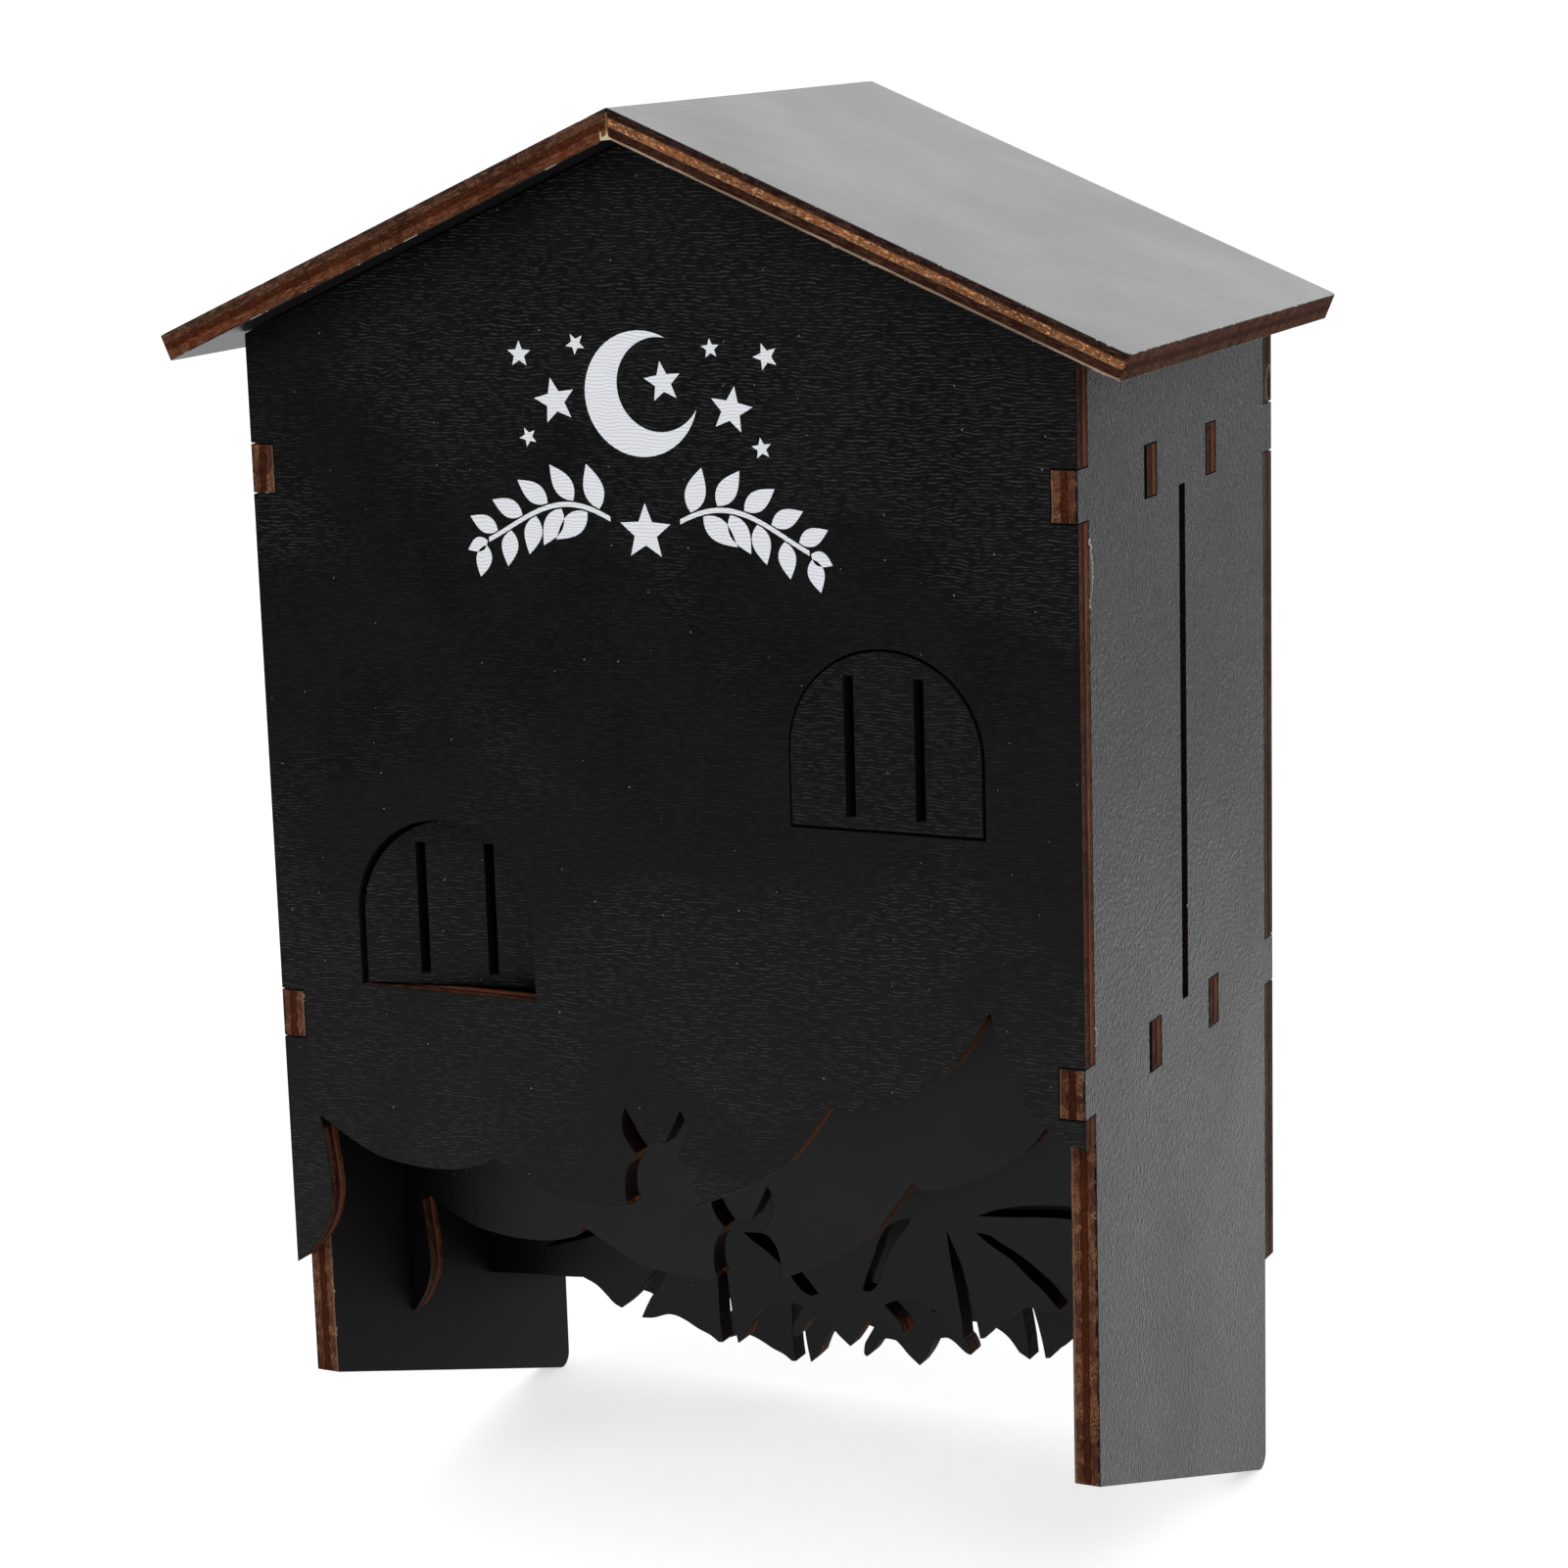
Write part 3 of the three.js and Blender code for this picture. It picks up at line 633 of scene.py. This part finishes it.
def finished_board(node, place, outer, inner, edge, arris, eave=None):
    """The CAD board with its arrises eased, and a finish on each face, on its cut edges and on its arrises.
    The eave finish is for the edges that look along the board's X axis, where they differ from the others."""
    turn = place.turn.to_matrix()
    outward, across = turn @ Vector((0.0, 0.0, 1.0)), turn @ Vector((1.0, 0.0, 0.0))
    shape = bmesh.new()
    shape.from_mesh(frame["nodes"][node].data)
    bmesh.ops.remove_doubles(shape, verts=shape.verts, dist=WELD)
    bmesh.ops.dissolve_limit(shape, angle_limit=FLAT_ANGLE, verts=shape.verts, edges=shape.edges)
    for face in shape.faces:
        face.smooth = True
        face.material_index = finish_slot(face, outward, across)
    mesh = bpy.data.meshes.new(node + "_finished")
    shape.to_mesh(mesh)
    shape.free()
    # Cut edges in narrow slots and gaps are painted near black, as shade
    slot_wall = scorched_ply(
        node + " slot wall", place, SHADED_SLOT_PLIES, curls=(0.0, 0.0), streaks=(0.04, 0.02),
    )
    for material in (outer, inner, edge, eave or edge, slot_wall, arris):
        mesh.materials.append(material)
    board = new_object(node + "_finished", mesh)
    eased = board.modifiers.new("Eased arris", "BEVEL")
    eased.width = ARRIS
    eased.segments = 2
    eased.limit_method = "ANGLE"
    eased.angle_limit = SHARP_ANGLE
    eased.use_clamp_overlap = False
    eased.material = ARRIS_FINISH
    board.modifiers.new("Even shading", "WEIGHTED_NORMAL")
    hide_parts(node)
    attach(board, body_of(node))
    return board


def body_of(node):
    """The CAD body that holds a node."""
    bodies = frame["record"]["behaviour"]["bodies"]
    return next(body for body, nodes in bodies.items() if node in nodes)


def front_boards():
    """The front panel and its two window flaps."""
    place = standing(0, y=FRONT_FACE)
    inner = inner_laminate("Front inner face", place)
    edge = scorched_ply("Front panel edge", place, PANEL_PLIES)
    arris = dark_arris("Front panel arris", place, 0.24)
    laminate = grained_laminate("Front laminate", place, 0.08 * MM, rightward=2.2, weakest=0.2)
    finished_board("front_panel", place, laminate, inner, edge, arris)
    laminate = grained_laminate("Right flap laminate", place, 0.09 * MM, rightward=2.0, weakest=0.5)
    finished_board("right_window_flap", place, laminate, inner, edge, arris)

    hinge = next(joint for joint in frame["joints"] if joint["name"] == "left_flap_hinge")["pos_m"]
    turn = math.radians(LEFT_FLAP_ANGLE)
    outer = Vector(hinge) + Vector((math.sin(turn), -math.cos(turn), 0.0)) * BOARD_THICKNESS
    ajar = standing(LEFT_FLAP_ANGLE, x=outer.x, y=outer.y)
    finished_board(
        "left_window_flap", ajar,
        grained_laminate("Left flap laminate", ajar, 0.08 * MM, rightward=0.0, weakest=0.35),
        inner_laminate("Left flap inner face", ajar),
        scorched_ply("Left flap edge", ajar, PANEL_PLIES),
        dark_arris("Left flap arris", ajar, 0.24),
    )


def inner_boards():
    """The two baffles, which face the front, and the back panel, whose finished face is to the wall."""
    for node in ("front_baffle", "rear_baffle", "back_panel"):
        label = node.replace("_", " ").capitalize()
        place = standing(0, y=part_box(node)[0].y)
        laminate = pebbled_laminate(
            label + " laminate", place, BLACK, specular=0.17, roughness=(0.32, 0.40),
            depth=0.02 * MM, pebble=1.2 * MM,
        )
        inner = inner_laminate(label + " inner face", place)
        # The rear baffle and back panel edges take the darkened plies, painted shade deep inside the box
        edge = scorched_ply(label + " edge", place, PANEL_PLIES if node == "front_baffle" else SHADED_PANEL_PLIES)
        torn = BACK_EDGE_TEARS if node == "back_panel" else ()
        upright = scorched_ply(label + " upright edge", place, UPRIGHT_PLIES[node], torn=torn)
        finished_board(node, place, laminate, inner, edge, dark_arris(label + " arris", place, 0.24), upright)


def side_boards():
    """The left and right side boards."""
    for node, facing, x, torn in (
        ("left_side_board", -90, LEFT_EDGE, ()), ("right_side_board", 90, RIGHT_EDGE, SIDE_TEARS),
    ):
        label = node.replace("_", " ").capitalize()
        place = standing(facing, x=x)
        laminate = pebbled_laminate(
            label + " laminate", place, SIDE_BLACK_AND_SHEEN, specular=0.52, roughness=(0.35, 0.43),
            depth=0.55 * MM, pebble=0.8 * MM, torn=torn,
        )
        finished_board(
            node, place, laminate, inner_laminate(label + " inner face", place),
            scorched_ply(label + " edge", place, LEG_PLIES, curls=(0.65, 0.05), streaks=(0.4, 0.1)),
            nicked_glinting_arris(label + " arris", place, 0.36, base=INNER_BLACK, specular=0.12, torn=torn),
        )


def roof_boards():
    """The two roof boards, the right one with a bright golden ply along its front edge."""
    for node, side in (("left_roof_board", -1), ("right_roof_board", 1)):
        label = node.replace("_", " ").capitalize()
        place = roof_place(side)
        laminate = pebbled_laminate(
            label + " laminate", place, ROOF_BLACK_AND_SHEEN, specular=0.5, roughness=(0.32, 0.37),
            depth=0.04 * MM, pebble=1.4 * MM,
        )
        if side > 0:
            edge = scorched_ply(
                label + " edge", place, RIGHT_ROOF_PLIES, GOLD_CURL,
                core=(0.29, 0.56), curls=(0.04, 0.14), streaks=(0.08, 0.75),
            )
        else:
            edge = scorched_ply(
                label + " edge", place, LEFT_ROOF_PLIES, curls=(0.35, 0.05), streaks=(0.5, 0.15),
            )
        eave = scorched_ply(label + " eave edge", place, EAVE_PLIES, curls=(0.35, 0.1))
        inner = inner_laminate(label + " underside", place, specular=0.9, roughness=0.42)
        finished_board(node, place, laminate, inner, edge, nicked_glinting_arris(label + " arris", place, 0.44), eave)


# Print and glue


def slab(name, outlines, front, back, material):
    """A thin piece with the given outlines, each a loop of (x, z), between two depths on Y."""
    shape = bmesh.new()
    for outline in outlines:
        corners = [shape.verts.new((x, back, z)) for x, z in outline]
        face = shape.faces.new(corners)
        raised = bmesh.ops.extrude_face_region(shape, geom=[face])["geom"]
        for corner in raised:
            if isinstance(corner, bmesh.types.BMVert):
                corner.co.y = front
    bmesh.ops.recalc_face_normals(shape, faces=shape.faces)
    mesh = bpy.data.meshes.new(name)
    shape.to_mesh(mesh)
    shape.free()
    mesh.materials.append(material)
    return new_object(name, mesh)


def turned(points, x, z, angle):
    """The points turned by angle in radians and moved to (x, z)."""
    cosine, sine = math.cos(angle), math.sin(angle)
    return [(x + across * cosine - up * sine, z + across * sine + up * cosine) for across, up in points]


def star(x, z, reach, tilt=0.0, points=5, waist=0.44):
    """The outline of a star."""
    outline = []
    for step in range(2 * points):
        angle = math.radians(90 + tilt) + step * math.pi / points
        radius = reach if step % 2 == 0 else reach * waist
        outline.append((x + radius * math.cos(angle), z + radius * math.sin(angle)))
    return outline


def crescent(x, z, reach, opening, tilt):
    """The outline of a crescent moon, whose horns lie opening degrees either side of the way it faces."""
    hollow_shift, steps = 0.36, 40
    half = math.radians(opening)
    horn_x, horn_z = reach * math.cos(half), reach * math.sin(half)
    inner_middle = reach * hollow_shift
    inner_reach = math.hypot(horn_x - inner_middle, horn_z)
    inner_half = math.atan2(horn_z, horn_x - inner_middle)
    sweep, inner_sweep = 2 * (math.pi - half), 2 * (math.pi - inner_half)
    points = []
    for step in range(steps + 1):
        angle = half + sweep * step / steps
        points.append((reach * math.cos(angle), reach * math.sin(angle)))
    for step in range(1, steps):
        angle = 2 * math.pi - inner_half - inner_sweep * step / steps
        points.append((inner_middle + inner_reach * math.cos(angle), inner_reach * math.sin(angle)))
    return turned(points, x, z, math.radians(tilt))


def leaf(x, z, length, width, angle):
    """The outline of a leaf that grows from (x, z) at an angle in radians."""
    steps = 10
    edge = [math.sin(math.pi * (step / steps) ** 0.8) for step in range(steps + 1)]
    upper = [(length * step / steps, width / 2 * edge[step]) for step in range(steps + 1)]
    lower = [(along, -across) for along, across in reversed(upper[1:-1])]
    return turned(upper + lower, x, z, angle)


def sprig(side):
    """A leafy sprig that leaves the middle star towards one side, as a list of outlines."""
    wave_height, wave_turn, wave_start = 5.5 * MM, math.radians(260), -0.4
    start, end, tip = 8.5 * MM, PRINT_HALF_WIDTH - 4 * MM, PRINT_HALF_WIDTH - 3.6 * MM
    half_stem, root_gap = 0.55 * MM, 0.35 * MM
    leaf_pairs, leaf_lean, lower_leaf_shift = 5, math.radians(52), 3.0 * MM
    stem_steps = 24

    def stem_height(along):
        wave = math.sin(wave_turn * along / PRINT_HALF_WIDTH + wave_start)
        return PRINT_SPRIG_HEIGHT + wave_height * wave

    def leaf_at(along, off_stem, lean, length, width):
        rise = math.atan2(stem_height(along + MM) - stem_height(along), MM)
        angle = rise + lean
        if side < 0:
            angle = math.pi - angle
        return leaf(side * along, stem_height(along) + off_stem, length, width, angle)

    places = [start + (end - start) * step / stem_steps for step in range(stem_steps + 1)]
    upper = [(side * place, stem_height(place) + half_stem) for place in places]
    lower = [(side * place, stem_height(place) - half_stem) for place in reversed(places)]
    outlines = [upper + lower]
    for pair in range(leaf_pairs):
        place = start + (2.6 + 6.4 * pair) * MM
        length, width = (10.2 - 0.7 * pair) * MM, 4.9 * MM - 0.25 * pair * MM
        outlines.append(leaf_at(place, half_stem + root_gap, leaf_lean, length, width))
        outlines.append(leaf_at(place + lower_leaf_shift, -(half_stem + root_gap), -leaf_lean, length, width))
    outlines.append(leaf_at(tip, 0.0, 0.0, 5.5 * MM, 3.2 * MM))
    return outlines


def front_print():
    """A white print on the front: a crescent moon among stars, over two leafy sprigs."""
    place = standing(0, y=FRONT_FACE)
    sky = [crescent(0.0, PRINT_MOON_HEIGHT, 13.6 * MM, 38, 25)]
    sky.append(star(5.4 * MM, PRINT_MOON_HEIGHT + 2.6 * MM, 4.6 * MM, 8))
    for x, rise, reach, tilt in PRINT_STARS:
        sky.append(star(x * MM, PRINT_MOON_HEIGHT + rise * MM, reach * MM, tilt))
    garland = [star(0.0, PRINT_SPRIG_HEIGHT, 6.4 * MM)] + sprig(1) + sprig(-1)
    ink = print_ink("White print ink", place)
    proud, sunk = FRONT_FACE - PRINT_PROUD, FRONT_FACE + PRINT_SUNK
    for name, outlines in (("moon_and_stars_print", sky), ("leafy_sprigs_print", garland)):
        piece = slab(name, outlines, proud, sunk, ink)
        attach(piece, "box")


def ridge_glue_bead():
    """The glue that fills the joint between the roof boards and shows at its front end. Its outline is in
    millimetres, across and up from the ridge."""
    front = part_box("left_roof_board")[0].y
    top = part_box("right_roof_board")[1].z
    seam = [
        (-0.2, -1.0), (0.2, -1.0), (0.35, -5.9), (1.2, -6.6), (-1.6, -6.8), (-1.7, -4.9), (-1.4, -4.9),
        (-1.2, -6.1), (-0.35, -5.7),
    ]
    place = standing(0, y=front)
    outline = [(x * MM, top + z * MM) for x, z in seam]
    glue = ridge_glue("Ridge glue", place, top)
    bead = slab("ridge_glue", [outline], front - 0.12 * MM, front + 0.3 * MM, glue)
    soft = bead.modifiers.new("Soft edge", "BEVEL")
    soft.width = 0.1 * MM
    soft.segments = 2
    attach(bead, "box")


# Stage


def studio_floor():
    """A wide pale floor under the legs, white to the camera, which keeps the box's shadow. Mirrored in the box, it
    shows a painted glow that only reflections see: bright near by, most so in front of it, dimmer at the legs,
    falling off with the distance and brighter towards the wall."""
    half_width, glow = 60.0, 0.62
    corners = [(-1, -1), (1, -1), (1, 1), (-1, 1)]
    mesh = bpy.data.meshes.new("floor")
    mesh.from_pydata([(x * half_width, y * half_width, FLOOR_HEIGHT) for x, y in corners], [], [(0, 1, 2, 3)])
    floor = new_object("floor", mesh)
    material, tree, shader = new_material("Pale floor", roughness=0.9, specular=0.0)
    shader.inputs["Base Color"].default_value = (0.8, 0.8, 0.8, 1)
    shader.inputs["Emission Color"].default_value = (1, 1, 1, 1)
    rays = tree.add("ShaderNodeLightPath").outputs
    tree.join(tree.calc("MULTIPLY", rays["Is Camera Ray"], glow), shader.inputs["Emission Strength"])
    inputs = {0: tree.add("ShaderNodeTexCoord").outputs["Object"], 1: (1, 1, 0)}
    flat = tree.add("ShaderNodeVectorMath", inputs, operation="MULTIPLY").outputs[0]
    distance = tree.add("ShaderNodeVectorMath", {0: flat}, operation="LENGTH").outputs["Value"]
    wallward = tree.add("ShaderNodeSeparateXYZ", {0: flat}).outputs[1]
    # The painted glow that reflections see in place of the lit floor
    bright_near_by = tree.step(distance, 0.2, 1.1, 1.3, 0.0)
    dip_at_the_legs = tree.step(distance, 0.12, 0.4, 0.72, 1.0)
    gain_in_front = tree.step(wallward, -0.5, -0.1, 1.55, 1.0)
    bright_far_off = tree.step(wallward, -0.3, 1.5, 0.08, 0.6)
    near = tree.calc("MULTIPLY", tree.calc("MULTIPLY", bright_near_by, dip_at_the_legs), gain_in_front)
    sheen = tree.calc("ADD", near, bright_far_off)
    mirrored = tree.add("ShaderNodeEmission", {"Color": (1, 1, 1), "Strength": sheen}).outputs[0]
    seen_in_gloss = tree.calc("MAXIMUM", rays["Is Glossy Ray"], rays["Is Transmission Ray"])
    mix = tree.add("ShaderNodeMixShader", {0: seen_in_gloss, 1: shader.outputs[0], 2: mirrored}).outputs[0]
    tree.join(mix, material.node_tree.nodes["Material Output"].inputs["Surface"])
    mesh.materials.append(material)


def studio_world():
    """Even white light, seen as white by the camera and in reflections."""
    ambient = 0.55
    world = bpy.data.worlds.new("Studio")
    bpy.context.scene.world = world
    world.use_nodes = True
    tree = Tree(world.node_tree)
    background = world.node_tree.nodes["Background"]
    rays = tree.add("ShaderNodeLightPath").outputs
    seen = tree.calc("MAXIMUM", rays["Is Camera Ray"], rays["Is Glossy Ray"])
    seen = tree.calc("MAXIMUM", seen, rays["Is Transmission Ray"])
    strength = tree.calc("MULTIPLY_ADD", seen, 1.0 - ambient, ambient)
    background.inputs["Color"].default_value = (1, 1, 1, 1)
    tree.join(strength, background.inputs["Strength"])


def softbox(name, place, aim, size, power):
    """A square soft lamp at place, pointed at aim."""
    lamp = bpy.data.lights.new(name, "AREA")
    lamp.size = size
    lamp.energy = power
    holder = new_object(name, lamp)
    holder.location = place
    holder.rotation_euler = (Vector(aim) - Vector(place)).to_track_quat("-Z", "Y").to_euler()
    holder.visible_camera = False


def studio_lamps():
    """A wide lamp behind and above, which the roof reflects, and one in front on each side."""
    middle = (0.0, -0.06, 0.05)
    softbox("Back lamp", (-0.35, 2.1, 1.25), middle, 2.2, 13)
    softbox("Right front lamp", (1.1, -1.5, 1.2), middle, 1.0, 9)
    softbox("Left front lamp", (-0.75, -1.75, 1.25), middle, 0.7, 7)


def photo_camera():
    """The camera of the photograph, which looks to the left and slightly down."""
    sensor = 36.0
    frame_pixels = 1601
    focal_pixels = 3970.9
    place = (0.38847, -0.86171, 0.19496)
    azimuth, elevation, roll = math.radians(25.827), math.radians(12.051), math.radians(-1.676)
    data = bpy.data.cameras.new("Camera")
    data.sensor_fit = "HORIZONTAL"
    data.sensor_width = sensor
    data.lens = focal_pixels / frame_pixels * sensor
    data.clip_start = 0.01
    data.clip_end = 50
    camera = new_object("Camera", data)
    turn = Matrix.Rotation(azimuth, 4, "Z") @ Matrix.Rotation(math.radians(90) - elevation, 4, "X")
    turn = turn @ Matrix.Rotation(roll, 4, "Z")
    camera.matrix_world = Matrix.Translation(place) @ turn
    bpy.context.scene.camera = camera


front_boards()
inner_boards()
side_boards()
roof_boards()
front_print()
ridge_glue_bead()
studio_floor()
studio_world()
studio_lamps()
photo_camera()

bpy.context.scene.view_settings.view_transform = "Standard"
